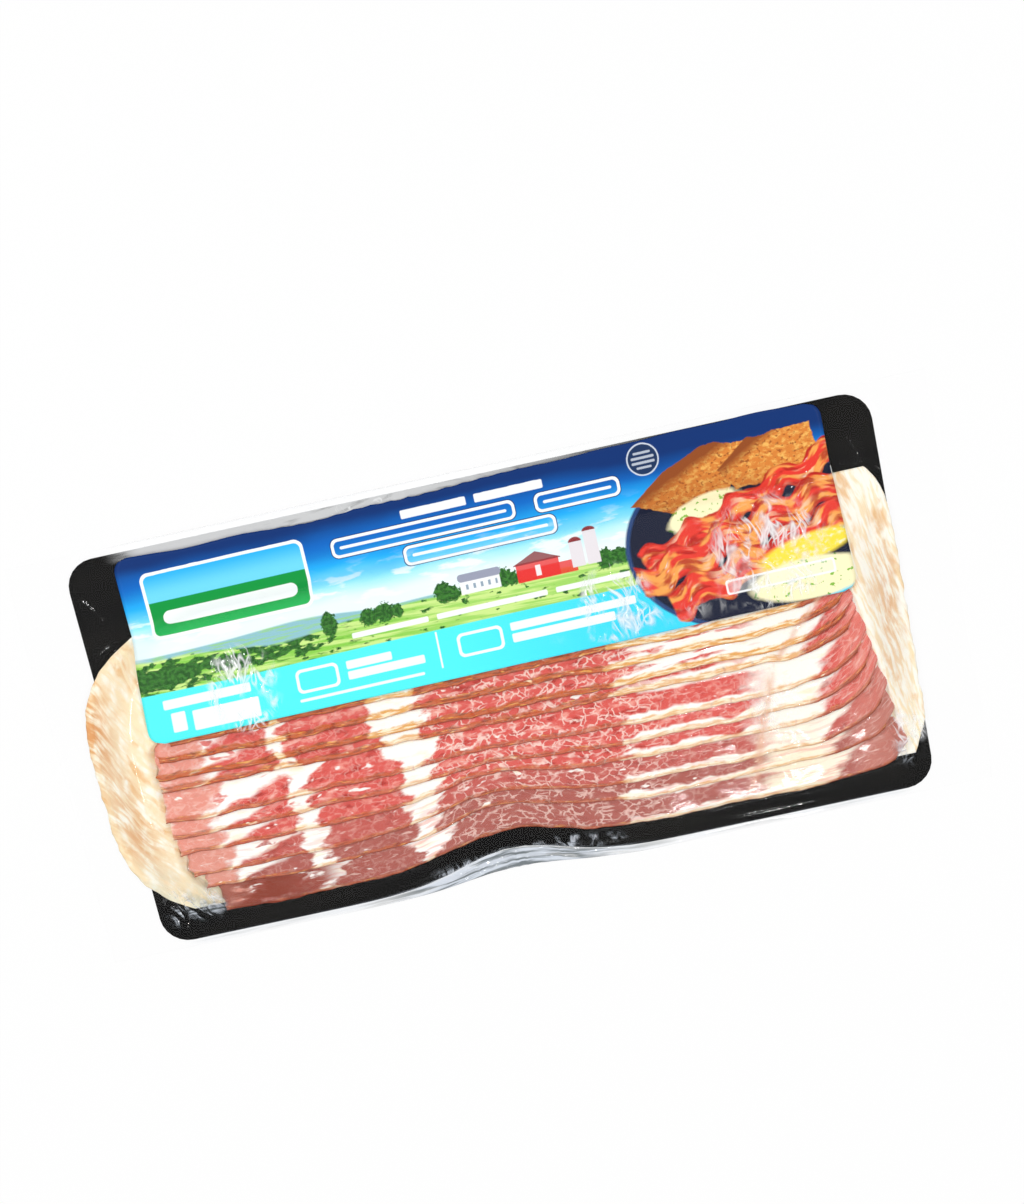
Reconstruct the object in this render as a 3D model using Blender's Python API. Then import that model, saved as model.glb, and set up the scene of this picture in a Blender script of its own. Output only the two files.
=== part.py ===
"""A vacuum pack of sliced bacon: a black backing board, a clear film pouch drawn tight over the shingled
slices, and a wide printed label over the rear half of the pack.

Metres, +Z up. The pack lies flat on its board. X runs along the slices, +Y towards the labelled edge,
and the origin is the middle of the pack's footprint, on the surface it rests on.
"""

import bmesh
import bpy
from math import cos, exp, pi, sin

GAP = 0.0003  # clearance between touching pieces
MERGE_DISTANCE = 0.00001

# Backing board
BOARD_LENGTH = 0.280
BOARD_WIDTH = 0.142
BOARD_THICKNESS = 0.0007
BOARD_CORNER = 0.010
CORNER_STEPS = 6

# The front edge of the pack is drawn inwards by the tight film, left of the middle
DIP_DEPTH = 0.009
DIP_X = -0.012
DIP_HALF_WIDTH = 0.026
DIP_STEPS = 36
FILM_DIP = 0.85  # the film's rim and the front slice follow the board's dip, a little less deep
SLICE_DIP = 0.9

# Pouch
POUCH_LENGTH = 0.320
POUCH_WIDTH = 0.147
POUCH_BOTTOM = BOARD_THICKNESS + GAP
SKIN = 0.0008  # the two films where nothing lies between them, and in the sealed rim
POUCH_CELLS_X = 40
POUCH_CELLS_Y = 60

# Slices: each lies on the one in front of it, a pitch further back
SLICE_COUNT = 12
SLICE_PITCH = 0.0063
SLICE_WIDTH = 0.038
FRONT_SLICE_Y = -0.0615
STACK_HEIGHT = 0.0142
STACK_EDGE_HEIGHT = 0.0024
STACK_LEFT_X = -0.149
STACK_RIGHT_X = 0.141
STACK_MIDDLE_Y = -0.010
STACK_END_SLOPE = 0.020
STACK_END_ROUNDING = 0.009
LEFT_ROUNDING_REACH = 0.040
LEFT_ROUNDING_POWER = 4
RIGHT_ROUNDING_REACH = 0.058
RIGHT_ROUNDING_POWER = 8
STACK_EDGE_FOOT = -0.003  # where the film leaves the board, in front of the front slice
STACK_EDGE_TOP = 0.001
STEP_FADE = 0.004
STEP_HEIGHT = 0.0011  # how far a slice's front edge stands above the slice that it lies on
DIP_FADE_FRONT_Y = -0.050
DIP_FADE_REAR_Y = -0.015

# Label
LABEL_LENGTH = 0.246
LABEL_FRONT_Y = 0.0070
LABEL_REAR_Y = 0.0705
LABEL_THICKNESS = 0.0005
LABEL_LIFT = 0.0008  # above the film, so that its facets clear the pouch's where the slope changes
LABEL_CORNER = 0.005
LABEL_CELLS_X = 44
LABEL_CELLS_Y = 12

ROUGHNESS = 0.35
COLOURS = {
    "board": (0.012, 0.012, 0.013),
    "pouch": (0.58, 0.17, 0.13),
    "label": (0.02, 0.42, 0.72),
}


def clear_scene():
    for old in list(bpy.data.objects):
        bpy.data.objects.remove(old)


def smooth(low, high, value):
    """0 at low, 1 at high, and an even S between them. high may be the smaller of the two."""
    t = min(1.0, max(0.0, (value - low) / (high - low)))
    return t * t * (3.0 - 2.0 * t)


def dip(x):
    """How far the front edge is drawn in at x."""
    return DIP_DEPTH * exp(-(((x - DIP_X) / DIP_HALF_WIDTH) ** 2))


def slice_shift(x, y):
    """How far the dip pushes the slices back at a point: the front ones most, those near the label not at all."""
    return SLICE_DIP * dip(x) * smooth(DIP_FADE_REAR_Y, DIP_FADE_FRONT_Y, y)


def stack_front(x):
    return FRONT_SLICE_Y + SLICE_DIP * dip(x)


def stack_rear():
    return FRONT_SLICE_Y + (SLICE_COUNT - 1) * SLICE_PITCH + SLICE_WIDTH


def stack_left(y):
    away = (y - STACK_MIDDLE_Y) / LEFT_ROUNDING_REACH
    return STACK_LEFT_X + STACK_END_ROUNDING * away**LEFT_ROUNDING_POWER


def stack_right(y):
    away = (y - STACK_MIDDLE_Y) / RIGHT_ROUNDING_REACH
    return STACK_RIGHT_X - STACK_END_ROUNDING * away**RIGHT_ROUNDING_POWER


def stack_height(x, y):
    """Height of the slices above the board: a ramp up from the front slice, a plateau and a ramp down."""
    front = stack_front(x)
    rear = stack_rear()
    plateau = STACK_HEIGHT - STACK_EDGE_HEIGHT
    rise = plateau * min(1.0, max(0.0, (y - front) / SLICE_WIDTH))
    fall = plateau * min(1.0, max(0.0, (rear - y) / SLICE_WIDTH))
    body = STACK_EDGE_HEIGHT + min(rise, fall)
    ends = min(
        smooth(0.0, STACK_END_SLOPE, x - stack_left(y)),
        smooth(0.0, STACK_END_SLOPE, stack_right(y) - x),
    )
    edges = min(
        smooth(STACK_EDGE_FOOT, STACK_EDGE_TOP, y - front),
        smooth(STACK_EDGE_FOOT, STACK_EDGE_TOP, rear - y),
    )
    return (body + slice_steps(x, y)) * ends * edges


def slice_steps(x, y):
    """The shingled front edges: highest at each slice's edge, and falling back to the next one's."""
    along = (y - slice_shift(x, y) - FRONT_SLICE_Y) / SLICE_PITCH
    showing = smooth(LABEL_FRONT_Y, LABEL_FRONT_Y - STEP_FADE, y)
    return STEP_HEIGHT * (0.5 - along % 1.0) * showing


def pouch_top(x, y):
    """Top of the film above the resting surface."""
    return POUCH_BOTTOM + SKIN + stack_height(x, y)


def flat_material(name):
    material = bpy.data.materials.new(name)
    material.use_nodes = True
    shader = material.node_tree.nodes["Principled BSDF"]
    shader.inputs["Base Color"].default_value = (*COLOURS[name], 1.0)
    shader.inputs["Roughness"].default_value = ROUGHNESS
    return material


def add_object(name, mesh, collection, material=None):
    obj = bpy.data.objects.new(name, mesh)
    collection.objects.link(obj)
    if material:
        mesh.materials.append(material)
    return obj


def board_outline():
    """Rectangle with round corners and the dip in its front edge, as points in turn."""
    half_x = BOARD_LENGTH / 2
    half_y = BOARD_WIDTH / 2
    radius = BOARD_CORNER
    middles = [(1, 1), (-1, 1), (-1, -1), (1, -1)]
    points = []
    for corner, (side_x, side_y) in enumerate(middles):
        for step in range(CORNER_STEPS + 1):
            turn = 0.5 * pi * (corner + step / CORNER_STEPS)
            x = side_x * (half_x - radius) + radius * cos(turn)
            y = side_y * (half_y - radius) + radius * sin(turn)
            points.append((x, y))
        if (side_x, side_y) == (-1, -1):
            straight = 2 * (half_x - radius)
            for step in range(1, DIP_STEPS):
                x = radius - half_x + straight * step / DIP_STEPS
                points.append((x, dip(x) - half_y))
    return points


def plate(name, outline, bottom, top, collection, material=None):
    """A flat plate from an outline: a filled 2D curve, extruded to half its thickness each way."""
    curve = bpy.data.curves.new(name, "CURVE")
    curve.dimensions = "2D"
    curve.fill_mode = "BOTH"
    curve.extrude = (top - bottom) / 2
    spline = curve.splines.new("POLY")
    spline.points.add(len(outline) - 1)
    for point, (x, y) in zip(spline.points, outline):
        point.co = (x, y, 0.0, 1.0)
    spline.use_cyclic_u = True
    guide = add_object(name + "_outline", curve, collection)
    guide.location.z = (top + bottom) / 2
    bpy.context.view_layer.update()
    mesh = bpy.data.meshes.new_from_object(guide.evaluated_get(bpy.context.evaluated_depsgraph_get()))
    made = bmesh.new()
    made.from_mesh(mesh)
    bmesh.ops.remove_doubles(made, verts=made.verts, dist=MERGE_DISTANCE)
    bmesh.ops.recalc_face_normals(made, faces=made.faces)
    made.to_mesh(mesh)
    made.free()
    obj = add_object(name, mesh, collection, material)
    obj.matrix_world = guide.matrix_world.copy()
    bpy.data.objects.remove(guide)
    return obj


def sheet_between(name, cells, place, top_of, bottom_of, collection, material, flat_below=False):
    """A closed solid between two height functions: a grid laid out by place(u, v) and extruded downwards."""
    cells_x, cells_y = cells
    made = bmesh.new()
    bmesh.ops.create_grid(made, x_segments=cells_x, y_segments=cells_y, size=1.0)
    for vert in made.verts:
        vert.co.x, vert.co.y = place(vert.co.x, vert.co.y)
    lower = bmesh.ops.extrude_face_region(made, geom=made.faces[:])
    low_verts = [item for item in lower["geom"] if isinstance(item, bmesh.types.BMVert)]
    low_set = set(low_verts)
    for vert in made.verts:
        height = bottom_of if vert in low_set else top_of
        vert.co.z = height(vert.co.x, vert.co.y)
    if flat_below:
        under = [face for face in made.faces if all(vert in low_set for vert in face.verts)]
        bmesh.ops.dissolve_faces(made, faces=under)
    upper = [face for face in made.faces if not any(vert in low_set for vert in face.verts)]
    bmesh.ops.triangulate(made, faces=upper)
    bmesh.ops.recalc_face_normals(made, faces=made.faces)
    mesh = bpy.data.meshes.new(name)
    made.to_mesh(mesh)
    made.free()
    return add_object(name, mesh, collection, material)


def pouch_place(u, v):
    x = u * POUCH_LENGTH / 2
    front = FILM_DIP * dip(x) - POUCH_WIDTH / 2
    rear = POUCH_WIDTH / 2
    return x, front + (rear - front) * (v + 1.0) / 2.0


def label_place(u, v):
    """The label's rectangle with rounded corners: rows near an end of it are a little shorter."""
    y = LABEL_FRONT_Y + (LABEL_REAR_Y - LABEL_FRONT_Y) * (v + 1.0) / 2.0
    edge = min(y - LABEL_FRONT_Y, LABEL_REAR_Y - y, LABEL_CORNER)
    inset = LABEL_CORNER - (LABEL_CORNER**2 - (LABEL_CORNER - edge) ** 2) ** 0.5
    return u * (LABEL_LENGTH / 2 - inset), y


def make_board(collection):
    return plate(
        "board", board_outline(), 0.0, BOARD_THICKNESS, collection, flat_material("board")
    )


def make_pouch(collection):
    return sheet_between(
        "pouch",
        (POUCH_CELLS_X, POUCH_CELLS_Y),
        pouch_place,
        pouch_top,
        lambda x, y: POUCH_BOTTOM,
        collection,
        flat_material("pouch"),
        flat_below=True,
    )


def make_label(collection):
    return sheet_between(
        "label",
        (LABEL_CELLS_X, LABEL_CELLS_Y),
        label_place,
        lambda x, y: pouch_top(x, y) + LABEL_LIFT + LABEL_THICKNESS,
        lambda x, y: pouch_top(x, y) + LABEL_LIFT,
        collection,
        flat_material("label"),
    )


def main():
    clear_scene()
    parts = bpy.data.collections.new("bacon_pack")
    bpy.context.scene.collection.children.link(parts)
    make_board(parts)
    make_pouch(parts)
    make_label(parts)


main()
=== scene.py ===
from math import exp, pi, radians, sin, sqrt

import bpy
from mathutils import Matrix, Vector, noise


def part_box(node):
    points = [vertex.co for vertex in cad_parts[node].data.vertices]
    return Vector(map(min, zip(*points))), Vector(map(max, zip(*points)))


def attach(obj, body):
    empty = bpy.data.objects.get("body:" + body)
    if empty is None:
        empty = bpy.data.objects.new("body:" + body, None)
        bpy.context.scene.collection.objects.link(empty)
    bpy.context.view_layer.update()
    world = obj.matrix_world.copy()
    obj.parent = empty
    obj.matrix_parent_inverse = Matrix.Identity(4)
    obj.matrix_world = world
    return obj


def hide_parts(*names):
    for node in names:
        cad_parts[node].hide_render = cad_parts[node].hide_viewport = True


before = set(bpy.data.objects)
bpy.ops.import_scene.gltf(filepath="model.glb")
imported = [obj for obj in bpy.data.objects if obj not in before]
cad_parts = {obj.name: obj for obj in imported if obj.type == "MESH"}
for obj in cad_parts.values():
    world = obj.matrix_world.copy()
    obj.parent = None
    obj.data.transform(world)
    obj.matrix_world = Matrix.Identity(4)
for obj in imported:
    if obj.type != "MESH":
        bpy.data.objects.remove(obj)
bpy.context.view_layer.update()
boardLow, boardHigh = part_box("board")
pouchLow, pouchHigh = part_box("pouch")
labelLow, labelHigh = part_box("label")
mm = 0.001


# Sums of sockets: a Wire can be added, multiplied and so on, and each sum adds a Math node to its tree

class Wire:
    def __init__(self, tree, socket):
        self.tree = tree
        self.socket = socket


arithmetic = {"add": "ADD", "sub": "SUBTRACT", "mul": "MULTIPLY", "truediv": "DIVIDE", "pow": "POWER"}
for method, sumKind in arithmetic.items():
    setattr(Wire, "__%s__" % method, lambda left, right, kind=sumKind: calc(kind, left, right))
    setattr(Wire, "__r%s__" % method, lambda right, left, kind=sumKind: calc(kind, left, right))


def plug(value, socket):
    if isinstance(value, Wire):
        value.tree.links.new(value.socket, socket)
    else:
        socket.default_value = value


def fill(node, values):  # values by the name or number of the input
    for name, value in values.items():
        plug(value, node.inputs[name])


def addNode(tree, kind, values, output=0, **settings):
    node = tree.nodes.new(kind)
    for name, setting in settings.items():
        setattr(node, name, setting)
    fill(node, values)
    return Wire(tree, node.outputs[output])


def treeOf(*parts):
    return next(part.tree for part in parts if isinstance(part, Wire))


def calc(operation, *parts):
    return addNode(treeOf(*parts), "ShaderNodeMath", dict(enumerate(parts)), operation=operation)


def isWire(*parts):
    return any(isinstance(part, Wire) for part in parts)


def least(a, b):
    return calc("MINIMUM", a, b) if isWire(a, b) else min(a, b)


def most(a, b):
    return calc("MAXIMUM", a, b) if isWire(a, b) else max(a, b)


def size(a):
    return calc("ABSOLUTE", a) if isWire(a) else abs(a)


def bell(a):  # 1 at 0, falling away on both sides
    return calc("EXPONENT", a * a * -1.0) if isWire(a) else exp(-a * a)


def ramp(low, high, value, soft=True):  # 0 below low, 1 above high; high may be the smaller
    if isWire(value, low, high):
        kind = "SMOOTHSTEP" if soft else "LINEAR"
        values = {"Value": value, "From Min": low, "From Max": high}
        tree = treeOf(value, low, high)
        return addNode(tree, "ShaderNodeMapRange", values, interpolation_type=kind, clamp=True)
    t = min(1.0, max(0.0, (value - low) / (high - low)))
    return t * t * (3.0 - 2.0 * t) if soft else t


def slope(low, high, value):  # the same, with straight sides
    return ramp(low, high, value, soft=False)


def point(x, y, z):
    return addNode(treeOf(x, y, z), "ShaderNodeCombineXYZ", {0: x, 1: y, 2: z})


def split(vector):
    node = vector.tree.nodes.new("ShaderNodeSeparateXYZ")
    plug(vector, node.inputs[0])
    return [Wire(vector.tree, output) for output in node.outputs]


def grain(x, y, z=0.0, detail=2.0, rough=0.5):  # noise, 0 to 1 around 0.5
    values = {"Vector": point(x, y, z), "Scale": 1.0, "Detail": detail, "Roughness": rough}
    return addNode(treeOf(x, y, z), "ShaderNodeTexNoise", values)


def stray(amount, *place):  # noise around 0
    return (grain(*place) - 0.5) * amount


def cellWalls(x, y, z):  # how far it is to the nearest wall between irregular cells
    values = {"Vector": point(x, y, z), "Scale": 1.0}
    return addNode(treeOf(x, y, z), "ShaderNodeTexVoronoi", values, "Distance", feature="DISTANCE_TO_EDGE")


# How high the slices stand above the board: a ramp up from the front slice, a plateau and a ramp down.
# The same rule serves plain numbers and the sockets of a node tree.

stack = {
    "dipDepth": 9 * mm, "dipX": -12 * mm, "dipHalfWidth": 26 * mm, "sliceDip": 0.9,
    "dipFadeFrontY": -50 * mm, "dipFadeRearY": -15 * mm,
    "frontY": -61.5 * mm, "rearY": 45.5 * mm, "slope": 38 * mm,
    "height": 14.2 * mm, "edgeHeight": 2.4 * mm,
    "leftX": -149 * mm, "rightX": 141 * mm, "middleY": -10 * mm, "endSlope": 20 * mm, "endRounding": 9 * mm,
    "leftReach": 40 * mm, "rightReach": 58 * mm,
    "bottomZ": 1.0 * mm,
}


def dip(x):  # how far the tight film draws the front edge in
    return stack["dipDepth"] * bell((x - stack["dipX"]) / stack["dipHalfWidth"])


def stackLeft(y):
    away = (y - stack["middleY"]) / stack["leftReach"]
    return stack["leftX"] + stack["endRounding"] * (away * away) ** 2


def stackRight(y):
    away = (y - stack["middleY"]) / stack["rightReach"]
    return stack["rightX"] - stack["endRounding"] * (away * away) ** 4


def stackHeight(x, y):
    plateau = stack["height"] - stack["edgeHeight"]
    front = stack["frontY"] + stack["sliceDip"] * dip(x)
    rise = slope(0.0, stack["slope"], y - front)
    fall = slope(0.0, stack["slope"], stack["rearY"] - y)
    body = stack["edgeHeight"] + plateau * least(rise, fall)
    ends = ramp(0.0, stack["endSlope"], least(x - stackLeft(y), stackRight(y) - x))
    edges = ramp(-3 * mm, 1 * mm, least(y - front, stack["rearY"] - y))
    return body * ends * edges


# Front edges of the slices, front to rear: some are bunched, some show a wide face

sliceSpec = {
    "frontEdges": [-63, -52.5, -46, -36.8, -29.8, -23, -12.3, -8.2, -2, 4, 9.5],
    "width": 38 * mm, "step": 1.6 * mm, "thickness": 1.45 * mm, "rounding": 1.3 * mm,
    "leftX": -124.5 * mm, "rightX": 122 * mm, "rightLean": 0.2,
    "hookX": 77 * mm, "hookReach": 48 * mm, "hookHeight": 14 * mm, "tipReach": 8 * mm, "tipRounding": 8 * mm,
    "frontSetBack": 9 * mm, "rearSetBack": 7 * mm, "unevenEnds": 6 * mm, "ragged": 6 * mm,
    "wave": 2.2 * mm, "crease": 1.1 * mm, "settle": 0.3 * mm,
    "cellsX": 170, "cellsY": 20,
}
frontEdges = [edge * mm for edge in sliceSpec["frontEdges"]]


def sliceShift(x, y):  # the dip pushes the front slices back, and leaves those near the label
    fade = ramp(stack["dipFadeRearY"], stack["dipFadeFrontY"], y)
    return stack["sliceDip"] * dip(x) * fade


def layerAt(y):  # which slice lies on top at y, running evenly from each front edge to the next
    count = 0.0
    for low, high in zip(frontEdges, frontEdges[1:]):
        count = slope(low, high, y) + count
    return count


def hook(x, front):  # the right ends of the slices curl towards the rear, the front ones least
    t = slope(sliceSpec["hookX"], sliceSpec["hookX"] + 1.2 * sliceSpec["hookReach"], x) * 1.2
    return sliceSpec["hookHeight"] * t ** 4 * (0.22 + 0.78 * ramp(-62 * mm, -38 * mm, front))


def named(tree, name, kind="FLOAT"):
    return addNode(tree, "GeometryNodeInputNamedAttribute", {"Name": name}, "Attribute", data_type=kind)


def keep(geometry, name, value, kind="FLOAT"):
    values = {"Name": name, "Geometry": geometry, "Value": value}
    return addNode(geometry.tree, "GeometryNodeStoreNamedAttribute", values, data_type=kind)


def move(geometry, position):
    return addNode(geometry.tree, "GeometryNodeSetPosition", {"Geometry": geometry, "Position": position})


def pointPlace(tree):
    return split(addNode(tree, "GeometryNodeInputPosition", {}))


def realize(geometry):
    return addNode(geometry.tree, "GeometryNodeRealizeInstances", {"Geometry": geometry})


def newTree(name, inputs):
    tree = bpy.data.node_groups.new(name, "GeometryNodeTree")
    tree.interface.new_socket("Geometry", in_out="INPUT", socket_type="NodeSocketGeometry")
    for title, start in inputs.items():
        kind = "Material" if start is None else "Int" if isinstance(start, int) else "Float"
        socket = tree.interface.new_socket(title, in_out="INPUT", socket_type="NodeSocket" + kind)
        if start is not None:
            socket.default_value = start
    tree.interface.new_socket("Geometry", in_out="OUTPUT", socket_type="NodeSocketGeometry")
    entry = tree.nodes.new("NodeGroupInput")
    return tree, {output.name: Wire(tree, output) for output in entry.outputs if output.name}


def block(cellsAlong, cellsAcross):  # a closed block; "unit" keeps each point's place in it, 0 to 1 each way
    values = {"Size": (1.0, 1.0, 1.0), "Vertices X": cellsAlong, "Vertices Y": cellsAcross, "Vertices Z": 2}
    mesh = addNode(cellsAlong.tree, "GeometryNodeMeshCube", values, "Mesh")
    x, y, z = pointPlace(cellsAlong.tree)
    return keep(mesh, "unit", point(x + 0.5, y + 0.5, z + 0.5), "FLOAT_VECTOR")


def endTree(geometry, material):
    tree = geometry.tree
    painted = addNode(tree, "GeometryNodeSetMaterial", {"Geometry": realize(geometry), "Material": material})
    smoothed = addNode(tree, "GeometryNodeSetShadeSmooth", {"Geometry": painted})
    plug(smoothed, tree.nodes.new("NodeGroupOutput").inputs[0])
    return tree


def grow(name, places, tree, finish):  # the mesh that a tree makes from a few points
    startMesh = bpy.data.meshes.new(name + "Start")
    startMesh.from_pydata(places, [], [])
    start = bpy.data.objects.new(name + "Start", startMesh)
    bpy.context.scene.collection.objects.link(start)
    modifier = start.modifiers.new("shape", "NODES")
    modifier.node_group = tree
    for item in tree.interface.items_tree:
        if item.in_out == "INPUT" and item.name == "Finish":
            modifier[item.identifier] = finish
    bpy.context.view_layer.update()
    mesh = bpy.data.meshes.new_from_object(start.evaluated_get(bpy.context.evaluated_depsgraph_get()))
    mesh.name = name
    bpy.data.objects.remove(start)
    return addPiece(name, mesh)


def addPiece(name, mesh):
    piece = bpy.data.objects.new(name, mesh)
    bpy.context.scene.collection.objects.link(piece)
    return piece


def sliceTree():
    tree, given = newTree("shingledSlices", {
        "Width": sliceSpec["width"], "Step": sliceSpec["step"], "Thickness": sliceSpec["thickness"],
        "Left End": sliceSpec["leftX"], "Right End": sliceSpec["rightX"], "Wave": sliceSpec["wave"],
        "Cells Along": sliceSpec["cellsX"], "Cells Across": sliceSpec["cellsY"], "Seed": 4.0, "Finish": None,
    })
    rows = keep(given["Geometry"], "sliceNumber", addNode(tree, "GeometryNodeInputIndex", {}))
    rows = keep(rows, "frontEdge", pointPlace(tree)[1])
    unit = block(given["Cells Along"], given["Cells Across"])
    slices = realize(addNode(tree, "GeometryNodeInstanceOnPoints", {"Points": rows, "Instance": unit}))

    along, across, upper = split(named(tree, "unit", "FLOAT_VECTOR"))
    row = named(tree, "sliceNumber")
    front = named(tree, "frontEdge")
    seed = given["Seed"]
    fromFront = across ** 1.7 * given["Width"]
    unevenLeft = stray(sliceSpec["unevenEnds"], row * 3.7, seed)
    left = given["Left End"] + unevenLeft + ramp(-40 * mm, -62 * mm, front) * sliceSpec["frontSetBack"]
    left = left + ramp(-6 * mm, 4 * mm, front) * sliceSpec["rearSetBack"]
    unevenRight = stray(sliceSpec["unevenEnds"], row * 2.9, seed + 7.0)
    right = given["Right End"] - (front + 5 * mm) * sliceSpec["rightLean"] + unevenRight + 2 * mm
    endX = along * (right - left) + left
    ragged = stray(sliceSpec["ragged"], fromFront / (3 * mm), row * 5.3, seed)
    blunt = 1.0 - ramp(0.0, sliceSpec["tipReach"], fromFront)  # the front corner of each right tip is rounded
    x = endX + ragged * (1.0 - along * 0.7) - blunt * blunt * sliceSpec["tipRounding"] * ramp(0.88, 1.0, along)
    wave = stray(2.0, x / (26 * mm), row * 1.31, seed, 3.0) * given["Wave"]
    wave = wave + stray(0.5, x / (5 * mm), row * 2.7, seed, 2.0) * given["Wave"]
    flat = front + fromFront
    y = flat + sliceShift(x, front) + hook(x, front) + wave
    depth = (layerAt(flat) - row) * given["Step"]
    crease = stray(sliceSpec["crease"], x / (11 * mm), y / (8 * mm), seed)
    edge = 1.0 - ramp(0.0, sliceSpec["rounding"], fromFront)
    tips = 1.0 - least(ramp(0.0, 0.010, along), ramp(1.0, 0.990, along))
    rounding = (edge + tips) * given["Thickness"] * 0.45
    top = stackHeight(x, y) + stack["bottomZ"] - sliceSpec["settle"] - depth + crease - rounding
    lowest = slope(0.5, 0.0, row) * given["Thickness"] * 0.6
    under = top + rounding * 1.6 - given["Thickness"] - lowest
    z = top * upper + under * (1.0 - upper)
    z = most(z, upper * 0.5 * mm + boardHigh[2] + 0.1 * mm)
    shaped = keep(slices, "flow", point(endX, fromFront, row), "FLOAT_VECTOR")
    return endTree(move(shaped, point(x, y, z)), given["Finish"])


# Fat ends: the rinds of all the slices side by side, as ridges that run across the pack

fatSpec = {
    "ridge": 0.5 * mm, "ridgeSpacing": 2.6 * mm, "sink": 3.0 * mm, "lift": -0.35 * mm, "raggedEdge": 3 * mm,
    "width": 104 * mm, "leftInner": -112 * mm, "rightInner": 104 * mm, "cellsX": 46, "cellsY": 150,
}


def rightEnd(y):  # where the lean ends of the slices give way to the fat
    return sliceSpec["rightX"] - (y + 12 * mm) * sliceSpec["rightLean"] + 1.5 * mm


def fatTree(isLeft):
    tree, given = newTree("fatEndLeft" if isLeft else "fatEndRight", {
        "Ridge": fatSpec["ridge"], "Spacing": fatSpec["ridgeSpacing"], "Cells Along": fatSpec["cellsX"],
        "Cells Across": fatSpec["cellsY"], "Seed": 2.0 if isLeft else 9.0, "Finish": None,
    })
    along, across, upper = split(named(tree, "unit", "FLOAT_VECTOR"))
    seed = given["Seed"]
    if isLeft:
        y = across * fatSpec["width"] + (stack["frontY"] + 2 * mm)
        outer = stackLeft(y) + stray(fatSpec["raggedEdge"], y / (7 * mm), seed) + 1.0 * mm
        x = along * (fatSpec["leftInner"] - outer) + outer
        setBack = ramp(-40 * mm, -62 * mm, y) * 8 * mm + ramp(2 * mm, 12 * mm, y) * 9 * mm
        hidden = ramp(-126 * mm, -123 * mm, x - setBack)
    else:
        y = across * fatSpec["width"] + (stack["frontY"] + 3 * mm)
        outer = stackRight(y) + stray(fatSpec["raggedEdge"], y / (9 * mm), seed) - 0.5 * mm
        outer = outer - ramp(-44 * mm, -60 * mm, y) * 4 * mm
        x = along * (outer - fatSpec["rightInner"]) + fatSpec["rightInner"]
        hidden = ramp(2 * mm, -1 * mm, x - rightEnd(y))
    warp = grain(x / (9 * mm), y / (26 * mm), seed, 2.0) * 7.0
    ridges = grain(x / given["Spacing"] + warp, y / (22 * mm), seed + 3.0, 2.0) - 0.5
    top = stackHeight(x, y) + stack["bottomZ"] + fatSpec["lift"]
    top = top + ridges * 2.0 * given["Ridge"] - hidden * fatSpec["sink"]
    base = pouchLow[2] - 0.1 * mm
    top = most(top, base + 0.5 * mm)
    z = top * upper + (1.0 - upper) * base
    shaped = keep(block(given["Cells Along"], given["Cells Across"]), "flow", point(x, y, warp), "FLOAT_VECTOR")
    return endTree(move(shaped, point(x, y, z)), given["Finish"])


# Materials

def palette(**screenColours):  # colours as 0 to 255 screen values, made linear
    def linear(value):
        part = value / 255
        return part / 12.92 if part <= 0.04045 else ((part + 0.055) / 1.055) ** 2.4
    return {name: (*[linear(value) for value in colour], 1.0) for name, colour in screenColours.items()}


def newMaterial(name):
    material = bpy.data.materials.new(name)
    material.use_nodes = True
    tree = material.node_tree
    shader = tree.nodes["Principled BSDF"]
    return material, tree, shader


def attribute(tree, name, output="Vector"):
    return addNode(tree, "ShaderNodeAttribute", {}, output, attribute_name=name)


def objectPlace(tree):  # in millimetres
    return [part / mm for part in split(addNode(tree, "ShaderNodeTexCoord", {}, "Object"))]


def blend(under, over, amount):  # colours or sockets; amount 0 to 1
    values = {0: amount, 6: under, 7: over}
    return addNode(amount.tree, "ShaderNodeMix", values, 2, data_type="RGBA", clamp_factor=True)


def bumpOf(height, distance):
    return addNode(height.tree, "ShaderNodeBump", {"Strength": 1.0, "Distance": distance, "Height": height})


baconLook = palette(
    lean=(217, 90, 82), leanPale=(238, 160, 146), leanDeep=(178, 54, 46), leanDull=(160, 92, 82),
    leanEnd=(232, 162, 144), fat=(254, 250, 244), fatWarm=(251, 234, 198), fatGolden=(226, 160, 74),
    # of the colours on the next line, the last is painted shade along each slice's front edge
    smoked=(190, 84, 42), smokedDeep=(132, 52, 32), vein=(251, 220, 208), outline=(146, 64, 40),
    # bend: painted crease shade along the slices' bend line
    bend=(228, 180, 150),
)
meatFinish = {"Roughness": 0.42, "Specular IOR Level": 0.25, "Subsurface Scale": 2 * mm}


def zone(u, middle, half, soft=1.2):  # 1 between middle - half and middle + half
    return ramp(half + soft, half - soft, size(u - middle))


# Lean along a slice, in millimetres from its middle: middle and half length
leanZones = {"second": (-94.0, 13.0), "main": (-58.0, 17.0), "marbled": (0.0, 34.0), "long": (55.0, 27.0),
             "patchy": (-100.0, 24.0), "veined": (6.0, 42.0)}
leanEnds = {"left": -109.0, "right": 99.0, "rind": -125.5}
bendLine = {"x": 89.0, "turnY": -13.5, "frontLean": 0.28, "halfWidth": 1.6}


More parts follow.
